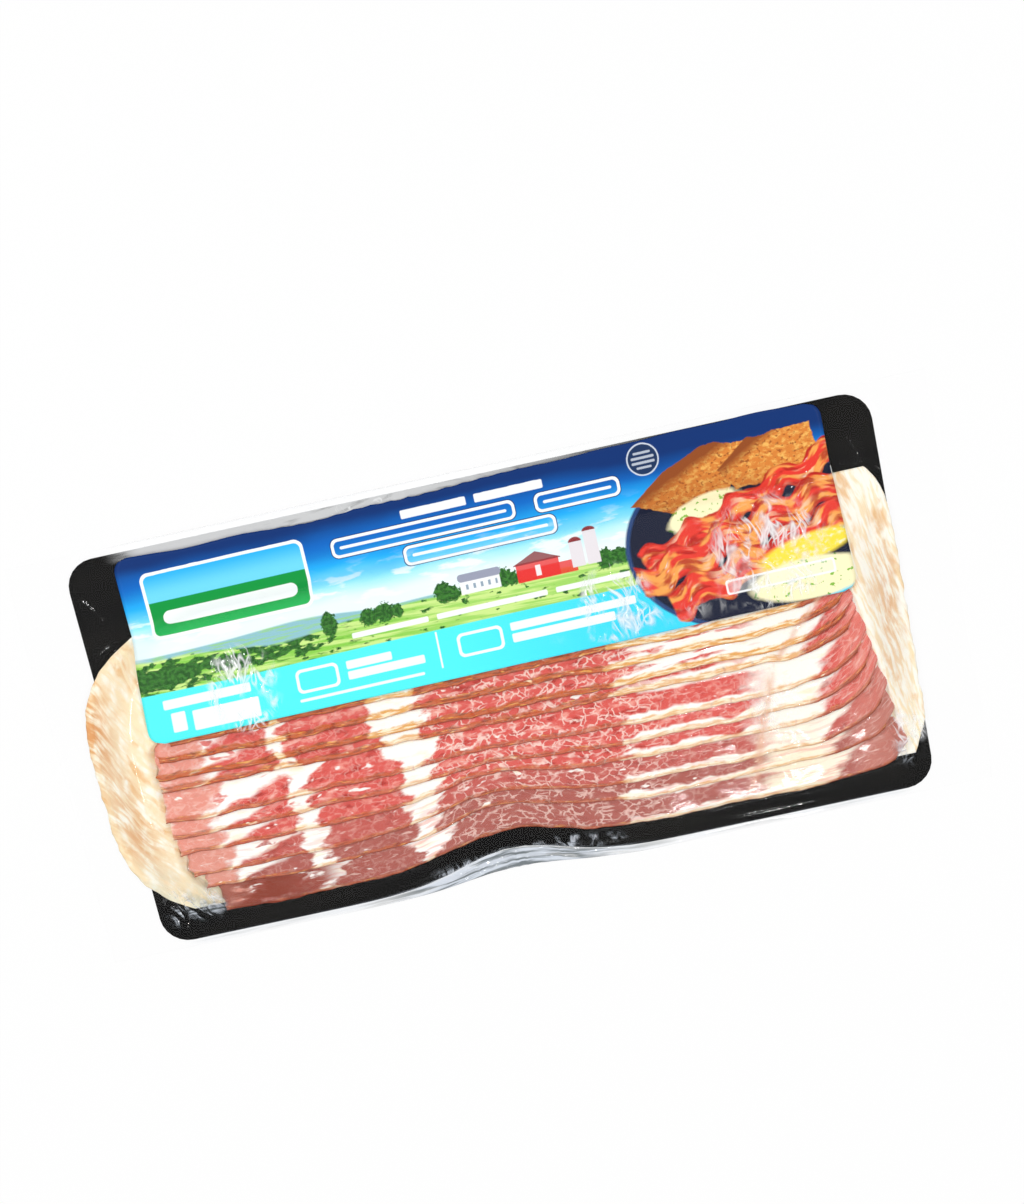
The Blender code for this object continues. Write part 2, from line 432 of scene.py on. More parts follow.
def leanAmount(u, v, row, a, b, high, low):  # each zone narrows towards the back of the face that shows
    middle, half = leanZones["second"]
    middle = middle - high * 4
    second = zone(a, middle, half) * ramp(1, -1, b - 1.2 - (a - (middle - half)) * 0.3)
    middle, half = leanZones["main"]
    main = zone(a, middle - high * 6, half - size(b - 3) * 0.9)
    middle, half = leanZones["marbled"]
    marbled = zone(a - b * 0.9, middle - low * 4, half)
    waver = stray(6, u / 13, row * 1.7, 0, 3)
    fattened = high * ramp(0.40, 0.52, grain(u / 16, v / 2, row * 3.9))
    long = zone(a, *leanZones["long"], 6) * ramp(2.4, 3.4, b + waver) * ramp(10.5, 9, b) * (1 - fattened)
    right = ramp(leanEnds["right"], leanEnds["right"] + 6, a - b * 1.2)
    lean = most(most(leanEnd(a, b), second), most(main, most(marbled, most(long, right))))
    patch = ramp(0.60, 0.68, grain(u / 8, v / 3, row * 7.7))
    lean = most(lean, patch * zone(u, *leanZones["patchy"], 6) * 0.9)
    lean = lean * (1 - ramp(0.68, 0.74, grain(u / 6, v / 3, row * 9.1)) * 0.9)
    lean = most(lean, ramp(0.25, 0.5, smokedSide(u, v, row)))
    rind = grain(v / 1.5, row * 4.4, 2, 3) * 5
    return lean * ramp(leanEnds["rind"] - 3.5, leanEnds["rind"], u - rind)


def leanEnd(a, b):
    return ramp(leanEnds["left"], leanEnds["left"] - 4, a - b * 0.7)


def smokedSide(u, v, row):  # the front slice shows its smoked side on the left
    return ramp(0.7, 0.3, row) * bell((u + 100) / 24) * ramp(0.30, 0.52, grain(u / 9, v / 3, 66, 3))


def whiteVeins(u, v, row, a, low):  # through the lean, closest in the middle
    netU = u / 3.2 + stray(1.6, u / 4, v / 3, row)
    netV = v / 2.6 + row * 3.3 + stray(1.1, u / 2, v / 1.6, row + 60)
    broken = ramp(0.38, 0.56, grain(u / 5, v / 3, row * 5 + 9)) * (1 - low * 0.3)
    veins = ramp(0.13, 0.01, cellWalls(netU, netV, row * 11)) * broken
    streak = ramp(0.60, 0.68, grain(u / 7, v / 1.3, row * 6 + 3, 3))
    return most(veins * (0.3 + 0.7 * zone(a, *leanZones["veined"], 12)), streak * 0.6)


# Also paints shade: a dark line along each slice's front edge, where it lies over the next slice, darker on the
# lean and wider at the curled right tips.
def smokedEdge(under, u, v, row, lean, high, low):  # orange-brown on the lean, golden on the fat
    look = baconLook

    def spots(start, end, length, height, seed):
        return ramp(start, end, grain(u / length, v / height, row * 5 + seed, 3))

    reach = 1.9 - low * 0.6 + high * 0.35 + stray(3.2, u / 8, row * 8, 0, 3)
    reach = reach + stray(1.2, u / 2.2, row * 8 + 4)
    golden = blend(look["fatWarm"], look["fatGolden"], spots(0.36, 0.58, 5, 0.7, 75))
    brown = blend(look["smoked"], look["smokedDeep"], spots(0.48, 0.62, 4, 0.8, 70))
    brown = blend(brown, look["fatGolden"], spots(0.58, 0.66, 5, 0.8, 80))
    browned = ramp(0.58, 0.70, grain(u / 3, row * 8 + 3, 0, 3))
    rind = blend(golden, brown, lean * 0.9 + browned * 0.6)
    colour = blend(under, rind, ramp(reach + 0.5, reach - 0.4, v) * (0.7 + high * 0.25))
    # painted shade line along the front edge, wider and darker at the curled right tips
    curled = ramp(98, 112, u)
    line = ramp(curled * 0.7 + 0.5, 0.15, v)
    return blend(colour, look["outline"], line * (0.4 + lean * 0.4 + curled * 0.15))


def bendMark(tree):  # the slices bend along a line that runs aslant near the right end; painted crease shade, blurred, lies along it
    x, y, z = objectPlace(tree)
    turned = y - bendLine["turnY"]
    bendX = least(turned, 0) * bendLine["frontLean"] + most(turned, 0) + bendLine["x"]
    return bell((x - bendX) / bendLine["halfWidth"]) * ramp(0.30, 0.60, grain(x / 5, y / 8, 90))


def baconMaterial():
    material, tree, shader = newMaterial("bacon")
    look = baconLook
    u, v, row = split(attribute(tree, "flow"))
    u, v = u / mm, v / mm
    high = ramp(5.5, 6.5, row)  # the upper rows are more smoked, the lower ones duller
    low = ramp(3.4, 0.8, row)
    slide = stray(12, row * 2.37, 4)
    a = u + stray(14, u / 8, v / 3.5, row * 3.1, 3) + slide * 0.5
    b = v + stray(3.4, u / 9, v / 5, row * 3.1 + 40)
    lean = leanAmount(u, v, row, a, b, high, low)
    veins = whiteVeins(u, v, row, a, low)
    tone = grain(u / 6, v / 3, row * 2 + 20, 3)
    red = blend(look["lean"], look["leanPale"], ramp(0.52, 0.72, tone))
    red = blend(red, look["leanDeep"], ramp(0.46, 0.30, tone))
    red = blend(red, look["leanDull"], low * 0.85)
    red = blend(red, look["leanEnd"], most(leanEnd(a, b) * 0.75, ramp(108, 120, u) * 0.3))
    red = blend(red, look["vein"], veins * 0.85)
    warmth = ramp(0.50, 0.75, grain(u / 12, v / 3, row * 4 + 5, 3)) * 0.8
    warmth = most(warmth, (low * 0.6 + 0.15) * bell((u - 92) / 26))
    white = blend(look["fat"], look["fatWarm"], warmth)
    pinkish = ramp(0.50, 0.62, grain(u / 14, v / 1.6, row * 4 + 15, 3))
    white = blend(white, look["leanPale"], low * pinkish * 0.55)
    colour = smokedEdge(blend(white, red, lean), u, v, row, lean, high, low)
    colour = blend(colour, look["smokedDeep"], smokedSide(u, v, row) * 0.95)
    # painted crease shade along the bend line
    colour = blend(colour, look["bend"], bendMark(tree) * 0.75)
    fibre = grain(u / 1.2, v / 0.5, row * 3)
    relief = bumpOf(fibre * 0.35 + tone * 0.5 + veins * 0.3, 0.25 * mm)
    fill(shader, {"Base Color": colour, "Normal": relief, **meatFinish, "Subsurface Weight": 0.12,
                  "Subsurface Radius": (1, 0.4, 0.25)})
    return material


fatLook = palette(
    cream=(254, 248, 234), warm=(249, 229, 190), tan=(234, 188, 132), left=(246, 224, 186),
    brown=(222, 158, 100), grey=(214, 212, 190),
)
# brown smudges, in millimetres: middle, reach, strength
fatSmudges = [(-145, 14, 8, 20, 1.2), (134, -2, 7, 26, 0.7), (-138, -24, 9, 18, 0.8)]


def fatMaterial():
    material, tree, shader = newMaterial("fatEnds")
    look = fatLook
    x, y, warp = split(attribute(tree, "flow"))
    x = x / mm
    y = y / mm
    left = ramp(20, -20, x)  # the left end's rinds run more aslant
    across = x * (1 - left * 0.25) + y * (left * 0.4 + 0.2)
    along = y * (1 - left * 0.3) - x * left * 0.6
    fine = grain(across / 1.3 + warp * 0.5, along / 9, 3, 3)
    broad = grain(across / 4 + warp * 0.4, along / 18, 8, 3)
    blotch = grain(x / 5, y / 8, 18, 4)
    colour = blend(look["cream"], look["left"], left * ramp(0.30, 0.60, blotch))
    colour = blend(colour, look["warm"], ramp(0.44, 0.62, fine) * 0.9)
    colour = blend(colour, look["tan"], ramp(0.50, 0.66, broad) * ramp(0.36, 0.56, blotch) * 0.85)
    smudge = 0
    for middleX, middleY, reachX, reachY, strength in fatSmudges:
        smudge = bell((x - middleX) / reachX) * bell((y - middleY) / reachY) * strength + smudge
    colour = blend(colour, look["brown"], smudge * ramp(0.42, 0.60, fine * 0.6 + blotch * 0.4) * 0.9)
    corner = ramp(-35, -55, y) * ramp(-105, -120, x)
    colour = blend(colour, look["grey"], corner * ramp(0.35, 0.6, broad) * 0.8)
    fill(shader, {"Base Color": colour, "Normal": bumpOf(fine, 0.3 * mm), **meatFinish,
                  "Subsurface Weight": 0.15, "Subsurface Radius": (1, 0.7, 0.5)})
    return material


boardLook = palette(black=(5, 5, 5), dusty=(16, 15, 13))


def boardMaterial():
    material, tree, shader = newMaterial("blackBoard")
    x, y, z = objectPlace(tree)
    fleck = grain(x / 0.9, y / 0.9, z, 3)
    # paler cloudy patches on the black
    cloudy = grain(x / 30, y / 12, 2, 2)
    colour = blend(boardLook["black"], boardLook["dusty"], ramp(0.35, 0.8, cloudy))
    fill(shader, {"Base Color": colour, "Normal": bumpOf(fleck, 0.04 * mm), "Roughness": fleck * 0.25 + 0.35,
                  "Specular IOR Level": 0.06})
    return material


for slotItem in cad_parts["board"].material_slots:
    slotItem.material = boardMaterial()
print("board finished")

rowStarts = [(0.0, edge, 0.0) for edge in frontEdges]
baconRows = grow("baconSlices", rowStarts, sliceTree(), baconMaterial())
fatFinish = fatMaterial()
fatLeft = grow("fatEndLeft", [(0.0, 0.0, 0.0)], fatTree(True), fatFinish)
fatRight = grow("fatEndRight", [(0.0, 0.0, 0.0)], fatTree(False), fatFinish)
print("bacon made:", len(baconRows.data.polygons), "faces in", len(frontEdges), "slices")


# A sheet that is laid out by place(u, v) and lifted to top(x, y), with a lower face below it

def sheetPiece(name, cellsX, cellsY, place, top, thickness=0.0, underZ=0.0):  # no thickness: flat below
    places = []
    for j in range(cellsY + 1):
        for i in range(cellsX + 1):
            x, y = place(i / cellsX, j / cellsY)
            places.append((x, y, top(x, y)))
    wide = cellsX + 1
    starts = [j * wide + i for j in range(cellsY) for i in range(cellsX)]
    faces = [(a, a + 1, a + wide + 1, a + wide) for a in starts]
    rim = list(range(wide)) + [j * wide + cellsX for j in range(1, cellsY + 1)]
    rim += [cellsY * wide + i for i in range(cellsX - 1, -1, -1)] + [j * wide for j in range(cellsY - 1, 0, -1)]
    first = len(places)
    if thickness:
        places += [(x, y, z - thickness) for x, y, z in places]
        faces += [tuple(first + index for index in reversed(face)) for face in faces]
        underRim = [first + index for index in rim]
    else:
        places += [(places[index][0], places[index][1], underZ) for index in rim]
        underRim = list(range(first, len(places)))
        faces.append(tuple(reversed(underRim)))
    for k in range(len(rim)):
        n = (k + 1) % len(rim)
        faces.append((rim[n], rim[k], underRim[k], underRim[n]))
    mesh = bpy.data.meshes.new(name)
    mesh.from_pydata(places, [], faces)
    for face in mesh.polygons:
        face.use_smooth = len(face.vertices) == 4
    return addPiece(name, mesh)


# Label

labelSpec = {
    "frontY": labelLow[1], "rearY": labelHigh[1], "halfLength": (labelHigh[0] - labelLow[0]) / 2,
    "corner": 5 * mm, "thickness": 0.2 * mm, "lift": 0.5 * mm, "turn": 0.0085, "back": 0.3 * mm,
    "scallop": 0.9 * mm, "dent": 1.8 * mm, "nibble": 0.45 * mm, "cellsX": 160, "cellsY": 60,
    "printLength": 249.0, "printHeight": 66.0,  # millimetres, measured along the bent label
}


def labelDent(x):  # the rear edge sags left of the middle
    return labelSpec["dent"] * bell((x + 55 * mm) / (58 * mm))


def labelPlace(u, v):
    y = labelSpec["frontY"] + (labelSpec["rearY"] - labelSpec["frontY"]) * v
    corner = labelSpec["corner"]
    edge = min(y - labelSpec["frontY"], labelSpec["rearY"] - y, corner)
    inset = corner - sqrt(max(0.0, corner ** 2 - (corner - edge) ** 2))
    x = (u * 2.0 - 1.0) * (labelSpec["halfLength"] - inset)
    scallop = noise.noise(Vector((x / 0.022, 3.0, 0.0))) * labelSpec["scallop"]
    scallop -= labelDent(x)
    scallop -= labelSpec["nibble"] * abs(sin(pi * x / (6.4 * mm))) * bell((x + 20 * mm) / (44 * mm))
    return x, y + scallop * ramp(0.85, 1.0, v) + x * labelSpec["turn"] - labelSpec["back"]


def labelTop(x, y):
    lift = noise.noise(Vector((x / 0.034, y / 0.016, 1.5))) * 0.25 * mm
    return stack["bottomZ"] + stackHeight(x, y) + labelSpec["lift"] + lift + labelSpec["thickness"]


labelPiece = sheetPiece(
    "frontLabel", labelSpec["cellsX"], labelSpec["cellsY"], labelPlace, labelTop, labelSpec["thickness"],
)


def wrapPrint(piece, steps=400):  # the print is laid out along the bent label, from its lower left corner
    span = labelSpec["rearY"] - labelSpec["frontY"]
    ys = [labelSpec["frontY"] + span * k / steps for k in range(steps + 1)]
    zs = [stackHeight(0.0, y) for y in ys]
    lengths = [0.0]
    for k in range(steps):
        lengths.append(lengths[-1] + sqrt((ys[k + 1] - ys[k]) ** 2 + (zs[k + 1] - zs[k]) ** 2))
    layer = piece.data.uv_layers.new(name="print")
    for loop in piece.data.loops:
        place = piece.data.vertices[loop.vertex_index].co
        straight = place.y - place.x * labelSpec["turn"] + labelSpec["back"]
        k = min(steps, max(0, round((straight - labelSpec["frontY"]) / span * steps)))
        across = (place.x + labelSpec["halfLength"]) / (2 * labelSpec["halfLength"])
        up = lengths[k] / lengths[-1] * labelSpec["printHeight"] / labelSpec["printLength"]
        layer.data[loop.index].uv = (across, up)


wrapPrint(labelPiece)

labelLook = palette(
    navy=(14, 50, 112), deepBlue=(16, 104, 194), blue=(38, 178, 250), pale=(142, 234, 252),
    haze=(236, 252, 252), band=(84, 246, 246), bandDeep=(60, 216, 250), field=(138, 206, 78),
    fieldPale=(206, 236, 140), hedge=(34, 84, 30), tree=(60, 124, 46), hills=(128, 188, 200),
    green=(18, 148, 64), greenPale=(40, 182, 90), skyPanel=(112, 216, 252), white=(251, 253, 253),
    plate=(20, 26, 48), plateRim=(44, 72, 122), bread=(218, 132, 58), breadPale=(242, 184, 96),
    crust=(146, 76, 36), cooked=(230, 62, 50), cookedDeep=(176, 34, 28), cookedFat=(252, 212, 174),
    cookedOrange=(246, 166, 84), egg=(253, 226, 70), cream=(252, 244, 198), herb=(138, 190, 76),
    barn=(230, 48, 46), roof=(142, 54, 58), stone=(232, 226, 230), houseRoof=(154, 158, 178),
    window=(116, 142, 166), stamp=(30, 52, 90), stampLine=(214, 222, 234),
)


def maskGroup(name, shapeInputs, build):
    tree = bpy.data.node_groups.new(name, "ShaderNodeTree")
    inputs = {"X": 0.0, "Y": 0.0, "Middle X": 0.0, "Middle Y": 0.0, "Half X": 1.0, "Half Y": 1.0, **shapeInputs}
    for title, start in inputs.items():
        tree.interface.new_socket(title, in_out="INPUT", socket_type="NodeSocketFloat").default_value = start
    tree.interface.new_socket("Mask", in_out="OUTPUT", socket_type="NodeSocketFloat")
    entry = tree.nodes.new("NodeGroupInput")
    mask = build(*[Wire(tree, entry.outputs[title]) for title in inputs])
    plug(mask, tree.nodes.new("NodeGroupOutput").inputs[0])
    return tree


def buildBox(x, y, middleX, middleY, halfX, halfY, corner, soft):
    outX = most(size(x - middleX) - halfX + corner, 0.0)
    outY = most(size(y - middleY) - halfY + corner, 0.0)
    away = calc("SQRT", outX * outX + outY * outY) - corner
    return slope(soft, soft * -1.0, away)


def buildOval(x, y, middleX, middleY, halfX, halfY, soft):
    a = (x - middleX) / halfX
    b = (y - middleY) / halfY
    away = (calc("SQRT", a * a + b * b) - 1.0) * least(halfX, halfY)
    return slope(soft, soft * -1.0, away)


boxGroup = maskGroup("roundBox", {"Corner": 0.5, "Soft": 0.1}, buildBox)
ovalGroup = maskGroup("oval", {"Soft": 0.1}, buildOval)


def useGroup(group, *values):
    return addNode(treeOf(*values), "ShaderNodeGroup", dict(enumerate(values)), node_tree=group)


def box(x, y, left, right, low, high, corner=0.6, soft=0.12):
    middles = ((left + right) / 2, (low + high) / 2)
    return useGroup(boxGroup, x, y, *middles, (right - left) / 2, (high - low) / 2, corner, soft)


def oval(x, y, middleX, middleY, halfX, halfY, soft=0.15):
    return useGroup(ovalGroup, x, y, middleX, middleY, halfX, halfY, soft)


def inset(bar, margin):
    left, right, low, high = bar
    return left + margin, right - margin, low + margin, high - margin


def side(x, y, fromX, fromY, toX, toY, soft=0.2):  # 1 to the left of the line from one point to another
    dx, dy = toX - fromX, toY - fromY
    span = sqrt(dx * dx + dy * dy)
    return slope(-soft, soft, (y - fromY) * (dx / span) - (x - fromX) * (dy / span))


# Places of the print, in millimetres from the label's lower left corner: left, right, low, high
labelPlaces = {
    "panel": (7.6, 65.6, 35.0, 59.0),
    "titleBars": [(75, 140, 49.2, 56.0), (147, 177, 49.2, 56.0), (99, 153, 41.2, 48.2)],
    "smallBars": [(101, 124, 57.6, 60.6), (127, 151, 57.6, 60.6)],
    "lineBars": [(76, 103, 21.0, 22.8), (106, 145, 21.0, 22.8), (148, 174, 21.0, 22.8)],
    "bandBars": [(7, 38, 11.2, 14.4), (9, 14, 3.0, 9.6), (16.5, 40, 2.2, 9.0), (72, 88, 11.2, 14.0),
                 (72, 99, 7.6, 10.4), (54, 98, 3.6, 4.6), (130, 174, 11.6, 14.4), (130, 166, 7.6, 10.6)],
    "bandRings": [(54, 69, 6.4, 14.6), (111, 127, 6.4, 14.6)],
    "weightBar": (205, 243, 7.2, 12.2),
    "stamp": (186.4, 59.4, 5.6),  # middle and radius
    "stampLines": [(-3, 3, 1.9, 2.7), (-4, 4, 0.2, 1.0), (-4, 4, -1.5, -0.7), (-2.6, 2.6, -3.2, -2.4)],
    # middle, half width, half height
    "trees": [(69, 27.5, 2.8, 4.4), (83, 27, 3.2, 3), (88.5, 27.4, 3.4, 3.4), (93, 27, 2.2, 2.4),
              (110, 29.4, 3.4, 3.6), (113, 28.6, 3, 2.6), (130.5, 30.2, 4, 3.2), (134, 29.2, 3, 2.4),
              (167, 28.6, 3.4, 3.4), (172, 28.6, 4, 2.8)],
    "silos": [(155.4, 36.6), (160.8, 39.4)],  # left side, height of the top
    # slices of bread: corners in turn, and the line that parts the crust from the crumb
    "bread": [(((179, 44), (197.5, 36.5), (213, 42), (222, 57.5), (208, 60), (192, 53.5)), (219, 59.6, 177, 41.6)),
              (((210.5, 50), (216, 42), (246, 44), (244.5, 59.5), (222, 58.5)), (240, 63.5, 209, 46.8))],
    # cooked strips: start, end, half width, phase of the waves
    "strips": [(180, 23, 251, 48, 4.6, 0.6), (177, 17, 251, 37, 5.4, 2.4), (186, 8, 251, 26, 5.6, 4.0)],
}


class Picture:  # the print, built up layer by layer
    def __init__(self, x, y):
        self.x = x
        self.y = y
        self.colour = labelLook["haze"]

    def paint(self, finish, mask):
        over = labelLook[finish] if isinstance(finish, str) else finish
        self.colour = blend(self.colour, over, mask)

    def box(self, bar, corner=0.6, soft=0.12):
        return box(self.x, self.y, *bar, corner, soft)

    def oval(self, *place):
        return oval(self.x, self.y, *place)


def printSky(picture):
    x, y = picture.x, picture.y
    sky = y + stray(6, x / 40, y / 14, 1, 3)
    picture.paint("pale", ramp(33, 42, sky))
    picture.paint("blue", ramp(39, 48, sky))
    picture.paint("deepBlue", ramp(46, 56, sky + bell((x - 125) / 60)))
    picture.paint("navy", ramp(54, 63, sky + ramp(150, 190, x) * 3))
    puffs = grain(x / 13, y / 4, 5, 4)
    picture.paint("white", ramp(0.52, 0.62, puffs) * bell((y - 38) / 6) * 0.8)


def printLand(picture):  # far hills, fields, hedges and trees
    x, y, look = picture.x, picture.y, labelLook
    hillTop = bell((x - 62) / 26) * 1.8 - bell((x - 85) / 14) + 29.6
    hills = slope(0.3, -0.3, y - hillTop) * zone(x, 58, 58, 8)
    farther = blend(look["hills"], look["field"], ramp(0.50, 0.60, grain(x / 11, y / 0.8, 8)) * 0.7)
    picture.paint(farther, hills * 0.9)
    stripes = grain(x / 24, y / 1.3 + x / 30, 6, 3)
    sunny = ramp(0.42, 0.62, stripes) + ramp(80, 120, x) * 0.3
    fields = blend(look["field"], look["fieldPale"], sunny)
    bushes = blend(look["hedge"], look["tree"], ramp(0.4, 0.6, grain(x / 1.3, y / 1.3, 4, 3)))
    wooded = ramp(78, 50, x) * bell((y - 23) / 3.6) + ramp(26, 8, x) * bell((y - 21.5) / 4)
    fields = blend(fields, bushes, ramp(0.60, 0.66, grain(x / 5, y / 2.2, 9, 4) + wooded * 0.24))
    hedges = ramp(0.60, 0.66, grain(x / 8, y / 0.9, 12, 3))
    fields = blend(fields, look["hedge"], hedges * ramp(100, 60, x) * 0.8)
    rise = stray(3, x / 18, 2) - bell((x - 52) / 22) * 3.5 + 28.5
    picture.paint(fields, slope(0.4, -0.4, y - rise))
    leaf = grain(x / 1.1, y / 1.1, 3, 4)
    leaves = blend(look["hedge"], look["tree"], ramp(0.44, 0.56, leaf))
    for place in labelPlaces["trees"]:
        picture.paint(leaves, oval(x + (leaf - 0.5) * 3, y + (leaf - 0.5) * 3.6, *place, 0.2))


def printFarm(picture):  # white house, red barn and two silos
    x, y = picture.x, picture.y
    picture.paint("white", picture.box((116, 130, 27.2, 31.6), 0.1))
    picture.paint("houseRoof", picture.box((115.4, 130.6, 31.4, 34.2), 1.2))
    oneWindow = box(calc("MODULO", x, 2.6), y, 0.9, 1.8, 28.6, 30.4, 0.1)
    picture.paint("window", oneWindow * picture.box((117, 129, 28, 31), 0.1))
    picture.paint("barn", picture.box((136, 157, 26.8, 31), 0.1))
    picture.paint("barn", picture.box((136, 151, 26.8, 33.2), 0.1))
    gable = slope(0.1, -0.1, y - 36.4 + size(x - 143.5) * 0.42)
    picture.paint("roof", gable * picture.box((135.2, 151.8, 32.6, 37), 0.1))
    picture.paint("white", picture.box((142.6, 144.4, 28, 31.6), 0.1) * 0.9)
    for left, high in labelPlaces["silos"]:
        picture.paint("stone", picture.box((left, left + 4.6, 28, high), 0.2))
        dome = slope(high - 0.1, high + 0.1, y)
        picture.paint("roof", picture.oval(left + 2.3, high, 2.3, 1.6) * dome)


def printBand(picture):  # along the lower edge
    x, y, look = picture.x, picture.y, labelLook
    bandColour = blend(look["band"], look["bandDeep"], ramp(90, 190, x) * 0.9 + 0.05)
    picture.paint(bandColour, slope(0.15, -0.15, y + bell((x - 30) / 40) * 0.8 - 17.6))


def printPanel(picture):  # two tones, with a plain plaque
    look = labelLook
    left, right, low, high = labelPlaces["panel"]
    picture.paint("white", picture.box(labelPlaces["panel"], 3))
    greens = blend(look["green"], look["greenPale"], ramp(low + 8, low, picture.y))
    blues = blend(look["skyPanel"], look["blue"], ramp(high - 9, high, picture.y))
    both = blend(greens, blues, slope(-0.15, 0.15, picture.y - (high - 10.6)))
    picture.paint(both, picture.box(inset(labelPlaces["panel"], 1.1), 2.2))
    picture.paint("white", picture.box((left + 5, right - 5, low + 4.6, low + 9.8), 2.4) * 0.95)


def printBars(picture):  # plain bars where words would be
    for bar in labelPlaces["titleBars"]:
        left, right, low, high = bar
        core = picture.box(inset(bar, 1), 1.6)
        middle = picture.box((left + 3, right - 3, (low + high) / 2 - 0.5, (low + high) / 2 + 0.5), 0.5)
        picture.paint("navy", picture.box(inset(bar, -0.3), 2.6) - core)
        picture.paint("white", most(picture.box(bar, 2.4) - core, middle))
    for bar in labelPlaces["smallBars"] + labelPlaces["lineBars"] + labelPlaces["bandBars"]:
        picture.paint("white", picture.box(bar, 0.5) * 0.92)
    for bar in labelPlaces["bandRings"]:
        picture.paint("white", picture.box(bar, 2) - picture.box(inset(bar, 1), 1.4))
    picture.paint("white", picture.box((104.1, 104.7, 4.5, 17), 0.2))


def printFood(picture):  # a plate with bread, mash, cooked strips and egg
    x, y, look = picture.x, picture.y, labelLook
    picture.paint("plateRim", picture.oval(216, 26.5, 42, 31.5, 0.3))
    picture.paint("plate", picture.oval(216, 26.5, 40.5, 30, 0.3))
    crumb = grain(x / 2.4, y / 1.6, 15, 5, 0.6)
    loaf = blend(look["bread"], look["breadPale"], ramp(0.45, 0.65, crumb))
    loaf = blend(loaf, look["crust"], ramp(0.56, 0.66, grain(x / 1.5, y / 1.2, 45, 3)) * 0.8)
    shaded = blend(loaf, look["crust"], ramp(12, 0, (y - 42) + (x - 212) * 0.2) * 0.35)
    wobble = stray(3, x / 5, y / 5, 22, 3)
    breadX, breadY = x + wobble, y + wobble
    for corners, crustLine in labelPlaces["bread"]:
        inside = 1
        for start, end in zip(corners, corners[1:] + corners[:1]):
            inside = side(breadX, breadY, *start, *end) * inside
        picture.paint("crust", inside)
        picture.paint(shaded, inside * side(breadX, breadY, *crustLine, 1.8))
    mash = oval(x + wobble * 1.5, y - (x - 203) * 0.22, 203.5, 37, 13, 5.6, 0.5)
    herbs = ramp(0.58, 0.64, grain(x / 2.2, y / 2.2, 18, 3))
    picture.paint(blend(look["cream"], look["herb"], herbs), mash)
    for strip in labelPlaces["strips"]:
        printStrip(picture, wobble, *strip)
    yolk = oval(x + wobble, y - (x - 234) * 0.15, 235, 17, 17, 4.6, 0.6)
    picture.paint(blend(look["egg"], look["cream"], ramp(0.5, 0.66, crumb)), yolk)
    herbs = ramp(0.62, 0.66, grain(x / 2.2, y / 2, 28))
    picture.paint(blend(look["cream"], look["herb"], herbs), oval(x + wobble, y, 234, 7, 21, 7, 0.5))


def printStrip(picture, wobble, startX, startY, endX, endY, half, phase):  # a broad wavy band of cooked bacon
    x, y, look = picture.x, picture.y, labelLook
    span = sqrt((endX - startX) ** 2 + (endY - startY) ** 2)
    dx, dy = (endX - startX) / span, (endY - startY) / span
    along = (x - startX) * dx + (y - startY) * dy
    across = (y - startY) * dx - (x - startX) * dy
    away = across - (calc("SINE", along * 0.36 + phase) * 1.7 + wobble * 0.6)
    curl = calc("SINE", along * 0.5 + phase) * 0.5 + 0.5

    def patches(longPatch, widePatch, seed, low, high):
        return ramp(low, high, grain(along / longPatch, away / widePatch, startY * seed))

    meat = blend(look["cooked"], look["cookedOrange"], patches(12, 4.5, 1, 0.47, 0.57))
    meat = blend(meat, look["cookedDeep"], patches(7, 3, 2, 0.50, 0.64) * 0.85)
    meat = blend(meat, look["cookedFat"], patches(9, 2.4, 1.3, 0.54, 0.66) * curl * 0.7)
    meat = blend(meat, look["white"], patches(4, 1.6, 3, 0.64, 0.72) * curl * 0.6)
    meat = blend(meat, look["cookedDeep"], ramp(half - 1.2, half, size(away)) * 0.8)
    edge = size(away) + calc("SINE", along * 0.8 + phase * 2) * 0.5
    picture.paint(meat, slope(half + 0.25, half - 0.25, edge) * ramp(-0.6, 0.6, along + wobble))


def printMarks(picture):  # outlined bar and round stamp, both without words
    bar = labelPlaces["weightBar"]
    picture.paint("white", (picture.box(bar, 1) - picture.box(inset(bar, 0.7), 0.6) * 0.75) * 0.9)
    x, y, radius = labelPlaces["stamp"]
    picture.paint("stampLine", picture.oval(x, y, radius, radius))
    picture.paint("stamp", picture.oval(x, y, radius - 0.45, radius - 0.45))
    for left, right, low, high in labelPlaces["stampLines"]:
        picture.paint("stampLine", picture.box((x + left, x + right, y + low, y + high), 0.3) * 0.7)


def labelMaterial():
    material, tree, shader = newMaterial("labelPrint")
    place = addNode(tree, "ShaderNodeUVMap", {}, uv_map="print")
    x, y = [part * labelSpec["printLength"] for part in split(place)[:2]]
    picture = Picture(x, y)
    for layer in (printSky, printLand, printFarm, printBand, printPanel, printBars, printFood, printMarks):
        layer(picture)
    paper = grain(x * 1.7, y * 1.7, 1, 3)
    fill(shader, {"Base Color": picture.colour, "Normal": bumpOf(paper, 0.03 * mm),
                  "Roughness": paper * 0.1 + 0.4, "Specular IOR Level": 0.12})
    return material


labelPiece.data.materials.append(labelMaterial())
print("label made")


# Clear film: one closed pouch, tight over the slices and the label, its rim flat around the board

filmSpec = {
    "cellsX": 400, "cellsY": 184, "clearance": 0.95 * mm, "rimZ": 0.15 * mm, "stepRelief": 0.7 * mm,
    "ripple": 0.16 * mm, "filmDip": 0.45, "marginWave": 0.9 * mm, "underZ": -0.1 * mm,
}

